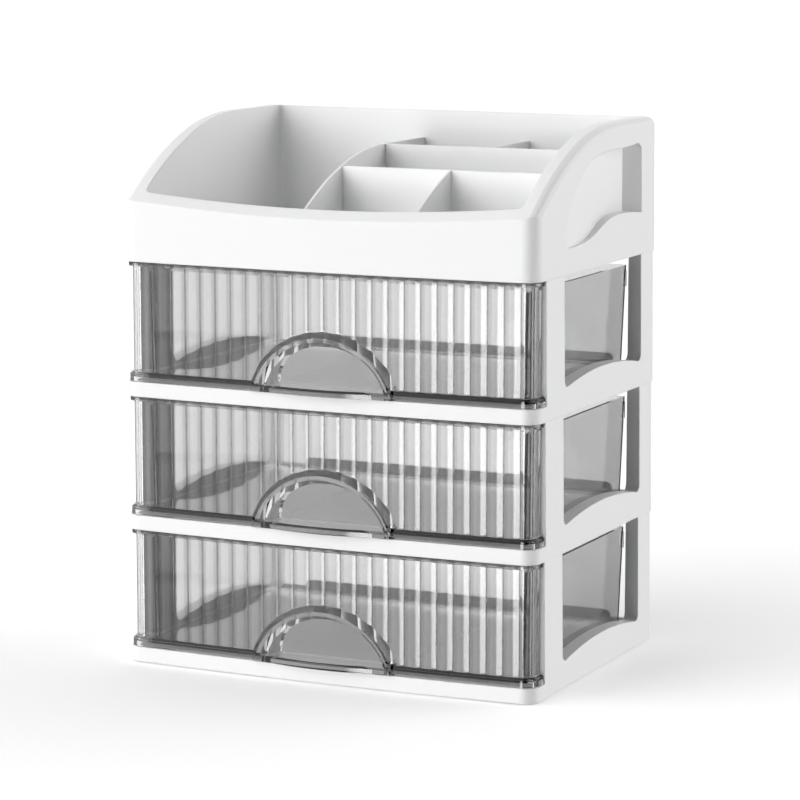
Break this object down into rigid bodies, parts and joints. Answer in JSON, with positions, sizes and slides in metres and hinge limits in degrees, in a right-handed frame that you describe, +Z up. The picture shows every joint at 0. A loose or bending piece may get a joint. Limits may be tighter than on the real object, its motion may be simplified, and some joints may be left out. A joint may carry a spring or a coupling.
{
  "type": "drawer organizer",
  "caption": "Desktop cosmetics organizer: stacked frames with clear fluted pull-out drawers below an open divided tray.",
  "frame": {"origin": "on the supporting surface, under the four pads, below the middle of the whole part's width and depth (the depth runs from the flat back to the front of the drawers' bulged ledges)", "axes": "+Z up, +X to the right as seen from the front, drawers open towards -Y"},
  "size_m": [0.24, 0.1761, 0.293],
  "materials": {
    "white_plastic": "satin",
    "smoke_plastic": "clear gloss",
    "pad_rubber": "matte"
  },
  "bodies": {
    "cabinet": {"frame_bottom": "white_plastic", "frame_middle": "white_plastic", "frame_top": "white_plastic", "top_tray": "white_plastic", "pad_front_left": "pad_rubber", "pad_front_right": "pad_rubber", "pad_rear_left": "pad_rubber", "pad_rear_right": "pad_rubber"},
    "drawer_bottom_body": {"drawer_bottom": "smoke_plastic"},
    "drawer_middle_body": {"drawer_middle": "smoke_plastic"},
    "drawer_top_body": {"drawer_top": "smoke_plastic"}
  },
  "joints": [
    {"name": "drawer_bottom_slide", "type": "slide", "parent": "cabinet", "child": "drawer_bottom_body", "axis": [0, -1, 0], "range_m": [0, 0.12]},
    {"name": "drawer_middle_slide", "type": "slide", "parent": "cabinet", "child": "drawer_middle_body", "axis": [0, -1, 0], "range_m": [0, 0.12]},
    {"name": "drawer_top_slide", "type": "slide", "parent": "cabinet", "child": "drawer_top_body", "axis": [0, -1, 0], "range_m": [0, 0.12]}
  ]
}
